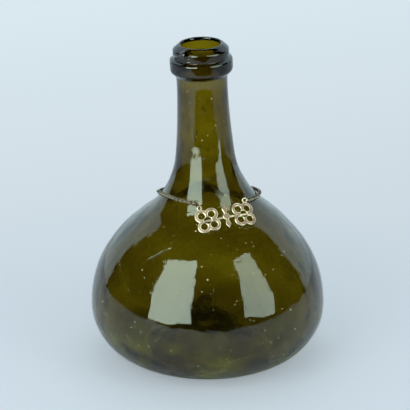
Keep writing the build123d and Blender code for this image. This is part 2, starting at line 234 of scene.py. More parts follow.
def glassGrid():
    # The whole wall: its section carried round, moved along its own normal by what the hand left.
    h = handwork
    profile, outerEnd, finishEnd = bottleProfile()
    before, after = np.roll(profile, 1, 0), np.roll(profile, -1, 0)
    before[0], after[-1] = profile[0], profile[-1]
    along = after - before
    along /= np.linalg.norm(along, axis=1)[:, None]
    normal = np.stack([along[:, 1], -along[:, 0]], 1)
    rows, columns = len(profile) - 1, h["columns"]
    turn = np.linspace(-math.pi, math.pi, columns, endpoint=False)
    radius, angle = np.meshgrid(profile[1:, 0], turn, indexing="ij")
    height = np.broadcast_to(profile[1:, 1][:, None], radius.shape)
    row = np.arange(1, rows + 1)[:, None]
    still = bottleSurface(radius, height, angle).reshape(-1, 3)

    def shaped(values):
        return values.reshape(rows, columns)

    wave, swell = shaped(ripples(still, h["seed"], 8.0)), shaped(ripples(still, h["seed"] + 1, 26.0))
    innerWave = shaped(ripples(still, h["seed"] + 2, 13.0))
    innerSwell = shaped(ripples(still, h["seed"] + 3, 34.0))
    streak = shaped(ripples(still, h["seed"] + 4, 7.0, stretch=(1, 1, 9)))
    onNeck = smoothStep(height, 100, 125)
    offFoot = smoothStep(height, 0.5, 9)
    outer = offFoot * (h["outerWave"] * wave * (1 - 0.8 * onNeck) + h["outerSwell"] * swell * (1 - onNeck) + h["neckStreak"] * streak * onNeck)
    inner = h["innerWave"] * innerWave + h["innerSwell"] * innerSwell * (1 - 0.7 * onNeck)
    out = np.where(row < finishEnd, outer, inner * smoothStep(186 - height, 0, 30))
    out += tooledFinish(row, outerEnd, finishEnd, still, shaped, angle, height)
    out += pontilScar(row, outerEnd, profile[1:, 0][:, None], still, shaped)
    radius = radius + out * normal[1:, 0][:, None]
    height = height + out * normal[1:, 1][:, None]
    points = bottleSurface(radius, height, angle).reshape(-1, 3)
    poles = bottleSurface(np.zeros(2), profile[[0, -1], 1], np.zeros(2))
    low, high, ring = rows * columns, rows * columns + 1, np.arange(columns)
    fan = np.roll(ring, -1)
    top = (rows - 1) * columns
    caps = np.vstack([np.stack([fan, ring, np.full(columns, low)], 1)[:, ::-1][:, [1, 0, 2]][:, ::-1],
                      np.stack([top + ring, top + fan, np.full(columns, high)], 1)])
    return np.vstack([points, poles]), gridQuads(rows, columns), caps, profile, normal, outerEnd


def tooledFinish(row, outerEnd, finishEnd, still, shaped, angle, height):
    # String rim and lip: tool ripples all round, the pressed end of the lip trail and its slanting
    # fold, as bumps exp(-(distance / width)^2).
    h = handwork
    onFinish = (row >= outerEnd) & (row < finishEnd)
    tool = 0.022 * shaped(ripples(still, h["seed"] + 5, 9.0, stretch=(1, 1, 6)))
    tool += 0.004 * shaped(ripples(still, h["seed"] + 6, 3.0, stretch=(1, 1, 3)))
    turn = np.degrees(angle) - h["foldTurn"]
    rise = height - h["foldHeight"]
    lump = np.exp(-((turn / 8.0) ** 2) - (rise / 2.0) ** 2)
    notch = np.exp(-(((turn - 11.0) / 3.5) ** 2) - ((rise + 0.5) / 2.6) ** 2)
    slant = np.exp(-(((rise + 1.2 - turn * 0.075) / 0.55) ** 2)) * smoothStep(-turn, 2, 12) * smoothStep(60 + turn, 0, 25)
    groove = np.exp(-(((rise + 0.1 - turn * 0.075) / 0.5) ** 2)) * smoothStep(-turn, 2, 12) * smoothStep(60 + turn, 0, 25)
    bumps = h["foldOut"] * lump - 0.35 * notch + 0.45 * slant - 0.4 * groove
    return np.where(onFinish, tool + bumps * (height > 186.5), 0.0)


def pontilScar(row, outerEnd, radius, still, shaped):
    # Broken ring of glass under the kick: a half-round bump at its radius, of ragged height.
    h = handwork
    inside = np.clip(1 - ((radius - h["scarR"]) / h["scarWidth"]) ** 2, 0, 1)
    ragged = 0.75 + 0.25 * shaped(ripples(still, h["seed"] + 8, 3.0))
    return np.where(row < outerEnd, h["scarWidth"] * np.sqrt(inside) * ragged * (radius < 14), 0.0)


def bubbles(profile, normal, outerEnd):
    # Seeds of air in the wall: small spheres drawn out along it, facing inwards, in random places.
    h = handwork
    rng = np.random.default_rng(h["seed"] + 20)
    count = h["bubbles"]
    heightOf = profile[:outerEnd, 1]
    first = int(np.argmax((profile[:outerEnd, 0] > 45) & (heightOf < 40)))
    at = rng.integers(first, outerEnd - 4, count)
    onNeck = profile[at, 1] > 100
    size = rng.uniform(0.14, 0.36, count) * rng.choice([1.0, 1.0, 1.7], count)
    depth = rng.uniform(0.7, 2.2, count)
    turn = rng.uniform(-math.pi, math.pi, count)
    long = np.where(onNeck, rng.uniform(2.0, 5.0, count), rng.uniform(1.0, 1.6, count))
    latitude = np.linspace(0, math.pi, 7)[1:-1]
    longitude = np.linspace(0, tau, 8, endpoint=False)
    a, b = np.meshgrid(latitude, longitude, indexing="ij")
    ball = np.stack([np.sin(a) * np.cos(b), np.sin(a) * np.sin(b), np.cos(a)], -1).reshape(-1, 3)
    ball = np.vstack([ball, [0, 0, 1], [0, 0, -1]])
    along = np.stack([-normal[at, 1], normal[at, 0]], 1)
    out = ball[None, :, 0] * size[:, None] - depth[:, None]
    up = ball[None, :, 2] * (size * long)[:, None]
    radius = profile[at, 0][:, None] + out * normal[at, 0][:, None] + up * along[:, 0][:, None]
    height = profile[at, 1][:, None] + out * normal[at, 1][:, None] + up * along[:, 1][:, None]
    spread = turn[:, None] + ball[None, :, 1] * size[:, None] / profile[at, 0][:, None]
    points = bottleSurface(radius, height, spread).reshape(-1, 3)
    rings, around = len(latitude), len(longitude)
    ring = np.arange(around)
    fan = np.roll(ring, -1)
    last = (rings - 1) * around
    quads = gridQuads(rings, around)
    caps = np.vstack([np.stack([fan, ring, np.full(around, len(ball) - 2)], 1),
                      np.stack([last + ring, last + fan, np.full(around, len(ball) - 1)], 1)])
    shift = (np.arange(count) * len(ball))[:, None, None]
    return points, (quads[None] + shift).reshape(-1, 4), (caps[None] + shift).reshape(-1, 3)


def makeGlass(material):
    points, quads, caps, profile, normal, outerEnd = glassGrid()
    airPoints, airQuads, airCaps = bubbles(profile, normal, outerEnd)
    first = len(points)
    faces = [quads, caps, airQuads + first, airCaps + first]
    meshPiece("bottle_glass", np.vstack([points, airPoints]), faces, "bottle",
              ["bottle", "string_rim", "lip_band"], material)
    print("glass", len(points), "points,", handwork["bubbles"], "bubbles")


# Chain and jump rings, read from where the solids lie

wireLook = dict(linkSides=16, linkWireSides=7, ringSides=30, ringWireSides=10, hammered=0.035, worn=0.42)


def ringsOfNode(name, solids):
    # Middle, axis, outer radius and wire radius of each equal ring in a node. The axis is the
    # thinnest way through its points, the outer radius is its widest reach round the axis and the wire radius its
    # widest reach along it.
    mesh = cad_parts[name].data
    points = np.empty(len(mesh.vertices) * 3, np.float32)
    mesh.vertices.foreach_get("co", points)
    groups = points.reshape(solids, -1, 3).astype(float) / mm
    found = []
    for group in groups:
        middle = (group.max(0) + group.min(0)) / 2
        group = np.unique(np.round(group, 4), axis=0)
        middle = group.mean(0)
        axis = np.linalg.svd(group - middle)[2][2]
        offset = group - middle
        flat = offset - np.outer(offset @ axis, axis)
        reach = np.linalg.norm(flat, axis=1)
        outer = reach.max()
        wire = np.abs(offset @ axis).max()
        found.append((middle, axis, outer, wire))
    return found


def ringSurface(middle, axis, radius, wireR, sides, wireSides, uneven=0.0, seed=0):
    # A wire bent into a ring: middle + (radius + wire cos v)(cos u, sin u) + wire sin v along the axis,
    # with the wire swelling a little round its length.
    axis = axis / np.linalg.norm(axis)
    side = np.cross(axis, [0.3, 0.5, 0.8])
    side /= np.linalg.norm(side)
    other = np.cross(axis, side)
    u, v = np.meshgrid(np.linspace(0, tau, sides, endpoint=False),
                       np.linspace(0, tau, wireSides, endpoint=False), indexing="ij")
    rng = np.random.default_rng(seed)
    swell = 1 + uneven * np.sin(2 * u + rng.uniform(0, tau)) * np.cos(3 * u + rng.uniform(0, tau))
    out = radius + wireR * swell * np.cos(v)
    points = (middle + (out * np.cos(u))[..., None] * side + (out * np.sin(u))[..., None] * other
              + (wireR * swell * np.sin(v))[..., None] * axis)
    return points.reshape(-1, 3), gridQuads(sides, wireSides, closedRows=True)


def ringWearAndShade(sides, wireSides, worn):
    # Painted shade and rub of a ring's points: 1 / 0 inside the ring and 0 / worn round its outside. The painted shade
    # darkens the side of the wire that faces the ring's hole.
    outward = 0.5 + 0.5 * np.cos(np.linspace(0, tau, wireSides, endpoint=False))
    return np.tile((1 - outward) * 1.6, sides), np.tile(outward**3 * worn, sides)


def makeChain(material):
    # Round links of round wire, three to a piece, where the frame's links lie.
    names = sorted(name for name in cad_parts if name.startswith("chain_links_"))
    triangles = {name: len(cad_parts[name].data.polygons) for name in names}
    perLink = triangles[names[0]] // 3
    wireR = 0.30
    for number, name in enumerate(names):
        parts, faces, first = [], [], 0
        for k, (middle, axis, outer, wire) in enumerate(ringsOfNode(name, triangles[name] // perLink)):
            points, quads = ringSurface(middle, axis, outer - wireR, wireR, wireLook["linkSides"],
                                        wireLook["linkWireSides"], wireLook["hammered"], number * 3 + k)
            parts.append(points)
            faces.append(quads + first)
            first += len(points)
        piece = meshPiece(f"chain_wire_{number + 1:02d}", np.vstack(parts), faces, "chain",
                          [name], material)
        # The side of each wire facing its link's hole takes painted shade through the tarnish's hollow input.
        inside, rubbed = ringWearAndShade(wireLook["linkSides"], wireLook["linkWireSides"], wireLook["worn"])
        markWear(piece, np.tile(inside, len(parts)), np.tile(rubbed, len(parts)))
    print("chain", len(names), "pieces")


def makeJumpRings(material):
    wireR = 0.35
    for number, side in enumerate(("left", "right")):
        name = f"{side}_jump_ring"
        middle, axis, outer, wire = ringsOfNode(name, 1)[0]
        points, quads = ringSurface(middle, axis, outer - wireR, wireR, wireLook["ringSides"],
                                    wireLook["ringWireSides"], wireLook["hammered"], 900 + number)
        piece = meshPiece(f"{side}_ring_wire", points, [quads], "jump_rings", [name], material)
        # The side of the wire facing the ring's hole takes painted shade.
        markWear(piece, *ringWearAndShade(wireLook["ringSides"], wireLook["ringWireSides"], wireLook["worn"]))


# Label

labelSize = dict(
    centre=(10.73, -30.13, 97.28), turn=18.0, slope=44.0, roll=3.5, bowR=55.0, thickness=1.0,
    foilOffset=11.2, lobeX=2.9, lobeY=3.3, outerR=3.9, innerR=2.0, coreR=3.1, coreHoleR=2.2,
    spindleHalf=7.3, spindleWide=1.65, spindleWaist=0.8, bossR=2.1,
    barLength=30.6, barWidth=1.5, barThickness=0.9,
    lugOffset=14.1, lugFoot=7.0, lugR=1.25, lugWireR=0.35, lugTilt=22.0,
)
labelLook = dict(cell=0.13, edgeRound=0.34, edgeDrop=0.26, borderWidth=0.42, grooveDepth=0.13,
                 hatchPitch=0.42, hatchDepth=0.035, reeds=5, reedTwist=3.4, reedDepth=0.075)


def labelAxes():
    # The label's own directions: across, up its face, and out of it.
    turn, slope, roll = (math.radians(labelSize[key]) for key in ("turn", "slope", "roll"))
    outward = np.array([math.sin(turn) * math.cos(slope), -math.cos(turn) * math.cos(slope), math.sin(slope)])
    level = np.array([math.cos(turn), math.sin(turn), 0.0])
    across = level * math.cos(roll) + np.cross(outward, level) * math.sin(roll)
    return across, np.cross(outward, across), outward


def labelPoints(x, y, z):
    # Points of the label, bowed about its upright: at x across and z out, it falls back by
    # bowR - sqrt((bowR + z)^2 - x^2).
    across, up, outward = labelAxes()
    fallen = np.sqrt((labelSize["bowR"] + z) ** 2 - x**2) - labelSize["bowR"]
    return np.array(labelSize["centre"]) + x[..., None] * across + y[..., None] * up + fallen[..., None] * outward


def foilDistance(x, y):
    # Distance outside the quatrefoil's metal, negative in it: lobes and core, less their holes.
    s = labelSize
    near = np.hypot(np.abs(x) - s["lobeX"], np.abs(y) - s["lobeY"])
    middle = np.hypot(x, y)
    solid = np.minimum(near - s["outerR"], middle - s["coreR"])
    hole = np.minimum(near - s["innerR"], middle - s["coreHoleR"])
    return np.maximum(solid, -hole)


def spindleDistance(x, y):
    # Distance outside the spindle: its half width runs from waist to shoulder to point, with a boss.
    s = labelSize
    half = np.interp(np.abs(y), [0, 2, s["spindleHalf"] - 2.4, s["spindleHalf"], s["spindleHalf"] + 2.4],
                     [s["spindleWaist"], s["spindleWaist"], s["spindleWide"], 0, -s["spindleWide"]])
    return np.minimum(np.abs(x) - half, np.hypot(x, y) - s["bossR"])


def plateSurface(distance, halfWide, halfTall, offset):
    # A pierced plate as a height field: grid points near the outline are moved onto it, cells inside
    # are kept front and back, and their open edges are joined. The front is lower towards its edge,
    # and its middle is cut away to a hatched floor. Returns points, faces and how deep the cut is.
    look = labelLook
    cell = look["cell"]
    x, y = np.meshgrid(np.arange(-halfWide, halfWide + cell, cell),
                       np.arange(-halfTall, halfTall + cell, cell), indexing="ij")
    rows, columns = x.shape
    for _ in range(2):
        gap = distance(x, y)
        slopeX = (distance(x + 0.01, y) - distance(x - 0.01, y)) / 0.02
        slopeY = (distance(x, y + 0.01) - distance(x, y - 0.01)) / 0.02
        steep = np.maximum(np.hypot(slopeX, slopeY), 0.5)
        near = (np.abs(gap) < 0.62 * cell) / steep**2
        x, y = x - gap * slopeX * near, y - gap * slopeY * near
    depth = -distance(x, y)
    cells = gridQuads(rows, columns, closedColumns=False)
    kept = cells[(depth.ravel()[cells] > -0.1 * cell).all(1)]
    edge = np.clip(1 - depth / look["edgeRound"], 0, 1)
    cut = smoothStep(depth, look["borderWidth"], look["borderWidth"] + 0.16)
    hatch = 0.5 + 0.5 * np.cos(tau * (x + y) / look["hatchPitch"])
    front = (labelSize["thickness"] - look["edgeDrop"] * edge**2 - look["grooveDepth"] * cut
             - look["hatchDepth"] * hatch * cut)
    back = 0.10 * edge**2
    points = np.concatenate([labelPoints(x + offset, y, front).reshape(-1, 3),
                             labelPoints(x + offset, y, back).reshape(-1, 3)])
    count = rows * columns
    edges = np.concatenate([kept[:, [k, (k + 1) % 4]] for k in range(4)])
    key = np.sort(edges, 1) @ np.array([2 * count, 1])
    unique, where, times = np.unique(key, return_index=True, return_counts=True)
    rim = edges[where[times == 1]]
    sides = np.stack([rim[:, 1], rim[:, 0], rim[:, 0] + count, rim[:, 1] + count], 1)
    faces = np.concatenate([kept, kept[:, ::-1] + count, sides])
    used, packed = np.unique(faces, return_inverse=True)
    grooves = np.concatenate([cut.ravel(), np.zeros(count)])
    rims = np.concatenate([edge.ravel(), np.ones(count)])
    return points[used], packed.reshape(-1, 4), grooves[used], rims[used]


def markWear(piece, grooves, rims):
    # Writes how deep each point lies in the engraved grooves, which on the chain and jump rings holds painted shade on
    # the side facing the ring's hole, and how near it is to a rubbed edge.
    for name, values in (("groove_tarnish_and_link_shade", grooves), ("rubbed", rims)):
        layer = piece.data.attributes.new(name, "FLOAT", "POINT")
        layer.data.foreach_set("value", values.astype(np.float32))


def lugRing(side):
    # The little ring on top of a quatrefoil, standing steeper than the plate.
    s = labelSize
    across, up, outward = labelAxes()
    tilt = math.radians(s["lugTilt"])
    tiltedUp = up * math.cos(tilt) + outward * math.sin(tilt)
    axis = outward * math.cos(tilt) - up * math.sin(tilt)
    x = np.array(side * s["lugOffset"])
    foot = labelPoints(x, np.array(s["lugFoot"]), np.array(s["thickness"] / 2))
    return ringSurface(foot + tiltedUp * (s["lugR"] + s["lugWireR"] / 2), axis, s["lugR"], s["lugWireR"], 28, 10)


def makeLabel(material, barMaterial):
    s = labelSize
    for side, name in ((-1, "left_quatrefoil"), (1, "right_quatrefoil")):
        points, faces, grooves, rims = plateSurface(foilDistance, 7.2, 7.6, side * s["foilOffset"])
        lugPoints, lugQuads = lugRing(side)
        both = np.vstack([points, lugPoints])
        piece = meshPiece(name.replace("foil", "foil_plate"), both, [faces, lugQuads + len(points)],
                          "label", [name], material)
        markWear(piece, np.concatenate([grooves, np.zeros(len(lugPoints))]),
                 np.concatenate([rims, np.full(len(lugPoints), 0.3)]))
    points, faces, grooves, rims = plateSurface(spindleDistance, 2.4, 7.7, 0.0)
    piece = meshPiece("spindle_plate", points, [faces], "label", ["spindle"], material)
    markWear(piece, grooves, rims)
    points, faces = crossbarSurface()
    meshPiece("reeded_crossbar", points, faces, "label", ["crossbar"], barMaterial)
    print("label done")


def crossbarSurface():
    # A twisted reeded bar: an oval of its width and thickness, swollen by cos(reeds (v - twist s)),
    # drawn to a blunt point at both ends.
    s, look = labelSize, labelLook
    along = np.linspace(-1, 1, 241)
    v, around = np.linspace(0, tau, 24, endpoint=False), 24
    x, turn = np.meshgrid(along * s["barLength"] / 2, v, indexing="ij")
    end = np.sqrt(np.clip(1 - ((np.abs(x) - s["barLength"] / 2 + 0.5) / 0.5).clip(0) ** 2, 0.0004, 1))
    reed = (1 + look["reedDepth"] * (np.cos(look["reeds"] * turn - x * look["reedTwist"]) - 1)) * end
    y = s["barWidth"] / 2 * reed * np.cos(turn)
    z = s["barThickness"] / 2 * (reed * np.sin(turn) - 1)
    points = labelPoints(x, y, z).reshape(-1, 3)
    ring = np.arange(around)
    last = (len(along) - 1) * around
    poles = np.array([points[:around].mean(0), points[last:].mean(0)])
    caps = np.vstack([np.stack([ring, np.roll(ring, -1), np.full(around, len(points))], 1)[:, ::-1],
                      np.stack([last + ring, last + np.roll(ring, -1), np.full(around, len(points) + 1)], 1)])
    return np.vstack([points, poles]), [gridQuads(len(along), around), caps]


# Materials

finish = dict(
    absorbColour=(0.756, 0.714, 0.167, 1), absorbDensity=1290.0, glassIor=1.52,
    lime=(0.72, 0.70, 0.48, 1), haze=(0.54, 0.56, 0.04, 1), hazeAmount=0.15,
    # The wire's dark tarnish colour is also the painted shade on the inner side of each chain link.
    dullWire=(0.17, 0.115, 0.08, 1), silver=(0.72, 0.62, 0.52, 1), copperTone=(0.40, 0.25, 0.19, 1), sootAndShade=(0.05, 0.035, 0.03, 1), rubbedGilt=(0.95, 0.84, 0.64, 1),
)


def addNode(tree, kind, place, **values):
    # Adds a node and sets its own properties, and its input sockets by name with _ for a space.
    node = tree.nodes.new(kind)
    node.location = place
    for key, value in values.items():
        if hasattr(node, key):
            setattr(node, key, value)
        else:
            node.inputs[key.replace("_", " ")].default_value = value
    return node


def nodeGroup(name, inputs, outputs):
    # An empty node group with float or colour sockets, and its input and output nodes.
    group = bpy.data.node_groups.new(name, "ShaderNodeTree")
    for socketName, kind, value in inputs:
        socket = group.interface.new_socket(socketName, in_out="INPUT", socket_type=kind)
        socket.default_value = value
    for socketName, kind in outputs:
        group.interface.new_socket(socketName, in_out="OUTPUT", socket_type=kind)
    return group, addNode(group, "NodeGroupInput", (-900, 0)), addNode(group, "NodeGroupOutput", (900, 0))


def makeScratchGroup():
    # Fine scratches: thin bands of a stretched noise, broken up by a larger noise.
    group, start, end = nodeGroup(
        "scratches", [("Scale", "NodeSocketFloat", 1.0), ("Amount", "NodeSocketFloat", 0.5)],
        [("Mask", "NodeSocketFloat")])
    place = addNode(group, "ShaderNodeTexCoord", (-900, -200))
    turned = addNode(group, "ShaderNodeMapping", (-700, -200), Rotation=(0.5, 0.9, 0.4), Scale=(9.0, 90.0, 12.0))
    lines = addNode(group, "ShaderNodeTexNoise", (-500, -200), Detail=1.0)
    thin = addNode(group, "ShaderNodeMapRange", (-300, -200), interpolation_type="SMOOTHSTEP")
    thin.inputs["From Min"].default_value = 0.71
    thin.inputs["From Max"].default_value = 0.76
    patches = addNode(group, "ShaderNodeTexNoise", (-500, 150), Scale=45.0, Detail=2.0)
    some = addNode(group, "ShaderNodeMapRange", (-300, 150))
    some.inputs["From Min"].default_value = 0.52
    some.inputs["From Max"].default_value = 0.66
    both = addNode(group, "ShaderNodeMath", (-50, 0), operation="MULTIPLY")
    scaled = addNode(group, "ShaderNodeMath", (150, 0), operation="MULTIPLY")
    link = group.links.new
    link(place.outputs["Object"], turned.inputs["Vector"])
    link(turned.outputs["Vector"], lines.inputs["Vector"])
    link(start.outputs["Scale"], lines.inputs["Scale"])
    link(place.outputs["Object"], patches.inputs["Vector"])
    link(lines.outputs["Fac"], thin.inputs["Value"])
    link(patches.outputs["Fac"], some.inputs["Value"])
    link(thin.outputs["Result"], both.inputs[0])
    link(some.outputs["Result"], both.inputs[1])
    link(both.outputs["Value"], scaled.inputs[0])
    link(start.outputs["Amount"], scaled.inputs[1])
    link(scaled.outputs["Value"], end.inputs["Mask"])
    return group


def newMaterial(name):
    material = bpy.data.materials.new(name)
    material.use_nodes = True
    tree = material.node_tree
    tree.nodes.clear()
    shader = addNode(tree, "ShaderNodeBsdfPrincipled", (500, 0))
    output = addNode(tree, "ShaderNodeOutputMaterial", (850, 0))
    tree.links.new(shader.outputs["BSDF"], output.inputs["Surface"])
    return material, tree, shader, output


def makeResidueGroup():
    # Specks and haze of lime: small discs in a random few of many cells, thicker where a slow noise
    # and the height say so, and a faint cloud of the same noise low on the body.
    group, start, end = nodeGroup(
        "residue", [("Low", "NodeSocketFloat", 0.015), ("High", "NodeSocketFloat", 0.058)],
        [("Specks", "NodeSocketFloat"), ("Haze", "NodeSocketFloat")])
    link = group.links.new
    place = addNode(group, "ShaderNodeTexCoord", (-1300, 0))
    parts = addNode(group, "ShaderNodeSeparateXYZ", (-1100, 300))
    lower = addNode(group, "ShaderNodeMapRange", (-900, 300), interpolation_type="SMOOTHSTEP")
    lower.inputs["To Min"].default_value = 1.0
    lower.inputs["To Max"].default_value = 0.0
    cloud = addNode(group, "ShaderNodeTexNoise", (-1100, 0), Scale=55.0, Detail=5.0, Roughness=0.62)
    link(place.outputs["Object"], parts.inputs["Vector"])
    link(place.outputs["Object"], cloud.inputs["Vector"])
    link(parts.outputs["Z"], lower.inputs["Value"])
    link(start.outputs["Low"], lower.inputs["From Min"])
    link(start.outputs["High"], lower.inputs["From Max"])
    thick = addNode(group, "ShaderNodeMapRange", (-700, 50))
    thick.inputs["From Min"].default_value = 0.42
    thick.inputs["From Max"].default_value = 0.72
    haze = addNode(group, "ShaderNodeMath", (-500, 150), operation="MULTIPLY")
    link(cloud.outputs["Fac"], thick.inputs["Value"])
    link(thick.outputs["Result"], haze.inputs[0])
    link(lower.outputs["Result"], haze.inputs[1])
    link(haze.outputs["Value"], end.inputs["Haze"])
    total = None
    for scale, radius, few, many in ((900.0, 0.34, 0.994, 0.90), (290.0, 0.15, 0.98, 0.84)):
        cells = addNode(group, "ShaderNodeTexVoronoi", (-900, -300), Scale=scale)
        disc = addNode(group, "ShaderNodeMapRange", (-700, -300))
        disc.inputs["From Min"].default_value = radius
        disc.inputs["From Max"].default_value = radius * 0.6
        chosen = addNode(group, "ShaderNodeSeparateColor", (-700, -500))
        limit = addNode(group, "ShaderNodeMapRange", (-500, -500))
        limit.inputs["To Min"].default_value = few
        limit.inputs["To Max"].default_value = many
        picked = addNode(group, "ShaderNodeMath", (-300, -500), operation="GREATER_THAN")
        spot = addNode(group, "ShaderNodeMath", (-100, -300), operation="MULTIPLY")
        link(place.outputs["Object"], cells.inputs["Vector"])
        link(cells.outputs["Distance"], disc.inputs["Value"])
        link(cells.outputs["Color"], chosen.inputs["Color"])
        link(haze.outputs["Value"], limit.inputs["Value"])
        link(chosen.outputs["Red"], picked.inputs[0])
        link(limit.outputs["Result"], picked.inputs[1])
        link(disc.outputs["Result"], spot.inputs[0])
        link(picked.outputs["Value"], spot.inputs[1])
        if total is not None:
            both = addNode(group, "ShaderNodeMath", (100, -300), operation="MAXIMUM")
            link(total, both.inputs[0])
            link(spot.outputs["Value"], both.inputs[1])
            total = both.outputs["Value"]
        else:
            total = spot.outputs["Value"]
    link(total, end.inputs["Specks"])
    return group


def glassMaterial(scratches, residue):
    # Clear surface over glass that absorbs blue most, with drawn cords, pits, scratches and lime.
    # Light that makes the shadow passes straight through, thinned by the glass.
    material, tree, shader, output = newMaterial("olive_glass")
    link = tree.links.new
    lime = addNode(tree, "ShaderNodeGroup", (-500, 600), node_tree=residue)
    hazy = addNode(tree, "ShaderNodeMath", (-250, 600), operation="MULTIPLY")
    hazy.inputs[1].default_value = finish["hazeAmount"]
    covered = addNode(tree, "ShaderNodeMath", (-50, 600), operation="MAXIMUM")
    tint = addNode(tree, "ShaderNodeMix", (150, 750), data_type="RGBA")
    tint.inputs["A"].default_value = finish["haze"]
    tint.inputs["B"].default_value = finish["lime"]
    chalk = addNode(tree, "ShaderNodeBsdfDiffuse", (350, 700))
    coated = addNode(tree, "ShaderNodeMixShader", (550, 500))
    link(lime.outputs["Haze"], hazy.inputs[0])
    link(hazy.outputs["Value"], covered.inputs[0])
    link(lime.outputs["Specks"], covered.inputs[1])
    link(lime.outputs["Specks"], tint.inputs["Factor"])
    link(tint.outputs["Result"], chalk.inputs["Color"])
    link(covered.outputs["Value"], coated.inputs["Fac"])
    link(shader.outputs["BSDF"], coated.inputs[1])
    link(chalk.outputs["BSDF"], coated.inputs[2])
    path = addNode(tree, "ShaderNodeLightPath", (300, 400))
    through = addNode(tree, "ShaderNodeBsdfTransparent", (500, 250))
    surface = addNode(tree, "ShaderNodeMixShader", (680, 200))
    link(path.outputs["Is Shadow Ray"], surface.inputs["Fac"])
    link(coated.outputs["Shader"], surface.inputs[1])
    link(through.outputs["BSDF"], surface.inputs[2])
    link(surface.outputs["Shader"], output.inputs["Surface"])
    shader.inputs["Base Color"].default_value = (1, 1, 1, 1)
    shader.inputs["Transmission Weight"].default_value = 1.0
    shader.inputs["IOR"].default_value = finish["glassIor"]
    absorb = addNode(tree, "ShaderNodeVolumeAbsorption", (500, -400),
                     Color=finish["absorbColour"], Density=finish["absorbDensity"])
    link(absorb.outputs["Volume"], output.inputs["Volume"])
    place = addNode(tree, "ShaderNodeTexCoord", (-900, 0))
    drawn = addNode(tree, "ShaderNodeMapping", (-700, 200), Scale=(1.0, 1.0, 0.08))
    cords = addNode(tree, "ShaderNodeTexNoise", (-500, 200), Scale=330.0, Detail=2.0, Roughness=0.45)
    skin = addNode(tree, "ShaderNodeTexNoise", (-500, -50), Scale=210.0, Detail=3.0, Roughness=0.5)
    pits = addNode(tree, "ShaderNodeTexVoronoi", (-500, -300), Scale=420.0)
    pitMask = addNode(tree, "ShaderNodeMapRange", (-300, -300))
    pitMask.inputs["From Min"].default_value = 0.17
    pitMask.inputs["From Max"].default_value = 0.04
    chance = addNode(tree, "ShaderNodeSeparateColor", (-300, -480))
    chosen = addNode(tree, "ShaderNodeMath", (-150, -480), operation="GREATER_THAN")
    chosen.inputs[1].default_value = 0.72
    pitted = addNode(tree, "ShaderNodeMath", (-150, -300), operation="MULTIPLY")
    link(pits.outputs["Color"], chance.inputs["Color"])
    link(chance.outputs["Green"], chosen.inputs[0])
    link(pitMask.outputs["Result"], pitted.inputs[0])
    link(chosen.outputs["Value"], pitted.inputs[1])
    worn = addNode(tree, "ShaderNodeGroup", (-500, -550), node_tree=scratches)
    worn.inputs["Scale"].default_value = 3.0
    worn.inputs["Amount"].default_value = 1.0
    link(place.outputs["Object"], drawn.inputs["Vector"])
    link(drawn.outputs["Vector"], cords.inputs["Vector"])
    link(place.outputs["Object"], skin.inputs["Vector"])
    link(place.outputs["Object"], pits.inputs["Vector"])
    link(pits.outputs["Distance"], pitMask.inputs["Value"])
    thin = addNode(tree, "ShaderNodeMapping", (-700, 400), Scale=(1.0, 1.0, 0.03))
    hairs = addNode(tree, "ShaderNodeTexNoise", (-500, 400), Scale=1500.0, Detail=2.0)
    parts = addNode(tree, "ShaderNodeSeparateXYZ", (-700, 550))
    upper = addNode(tree, "ShaderNodeMapRange", (-500, 550))
    upper.inputs["From Min"].default_value = 0.088
    upper.inputs["From Max"].default_value = 0.115
    fine = addNode(tree, "ShaderNodeBump", (-250, 400), Distance=0.00003)
    link(place.outputs["Object"], thin.inputs["Vector"])
    link(thin.outputs["Vector"], hairs.inputs["Vector"])
    link(place.outputs["Object"], parts.inputs["Vector"])
    link(parts.outputs["Z"], upper.inputs["Value"])
    link(upper.outputs["Result"], fine.inputs["Strength"])
    link(hairs.outputs["Fac"], fine.inputs["Height"])
    swells = addNode(tree, "ShaderNodeBump", (-50, 100), Strength=1.0, Distance=0.00007)
    link(fine.outputs["Normal"], swells.inputs["Normal"])
    marks = addNode(tree, "ShaderNodeBump", (200, 0), Strength=1.0, Distance=0.00012)
    uneven = addNode(tree, "ShaderNodeMath", (-250, 150), operation="ADD")
    flaws = addNode(tree, "ShaderNodeMath", (-80, -350), operation="ADD")
    lowered = addNode(tree, "ShaderNodeMath", (80, -350), operation="MULTIPLY")
    lowered.inputs[1].default_value = -1.0
    link(cords.outputs["Fac"], uneven.inputs[0])
    calm = addNode(tree, "ShaderNodeMapRange", (-500, 700))
    calm.inputs["To Min"].default_value = 1.0
    calm.inputs["To Max"].default_value = 0.25
    calmed = addNode(tree, "ShaderNodeMath", (-380, 150), operation="MULTIPLY")
    link(upper.outputs["Result"], calm.inputs["Value"])
    link(skin.outputs["Fac"], calmed.inputs[0])
    link(calm.outputs["Result"], calmed.inputs[1])
    link(calmed.outputs["Value"], uneven.inputs[1])
    link(uneven.outputs["Value"], swells.inputs["Height"])
    link(pitted.outputs["Value"], flaws.inputs[0])
    link(worn.outputs["Mask"], flaws.inputs[1])
    link(flaws.outputs["Value"], lowered.inputs[0])
    link(lowered.outputs["Value"], marks.inputs["Height"])
    link(swells.outputs["Normal"], marks.inputs["Normal"])
    link(marks.outputs["Normal"], shader.inputs["Normal"])
    dull = addNode(tree, "ShaderNodeMapRange", (200, -250))
    dull.inputs["To Min"].default_value = 0.0
    dull.inputs["To Max"].default_value = 0.25
    link(worn.outputs["Mask"], dull.inputs["Value"])
    link(dull.outputs["Result"], shader.inputs["Roughness"])
    return material


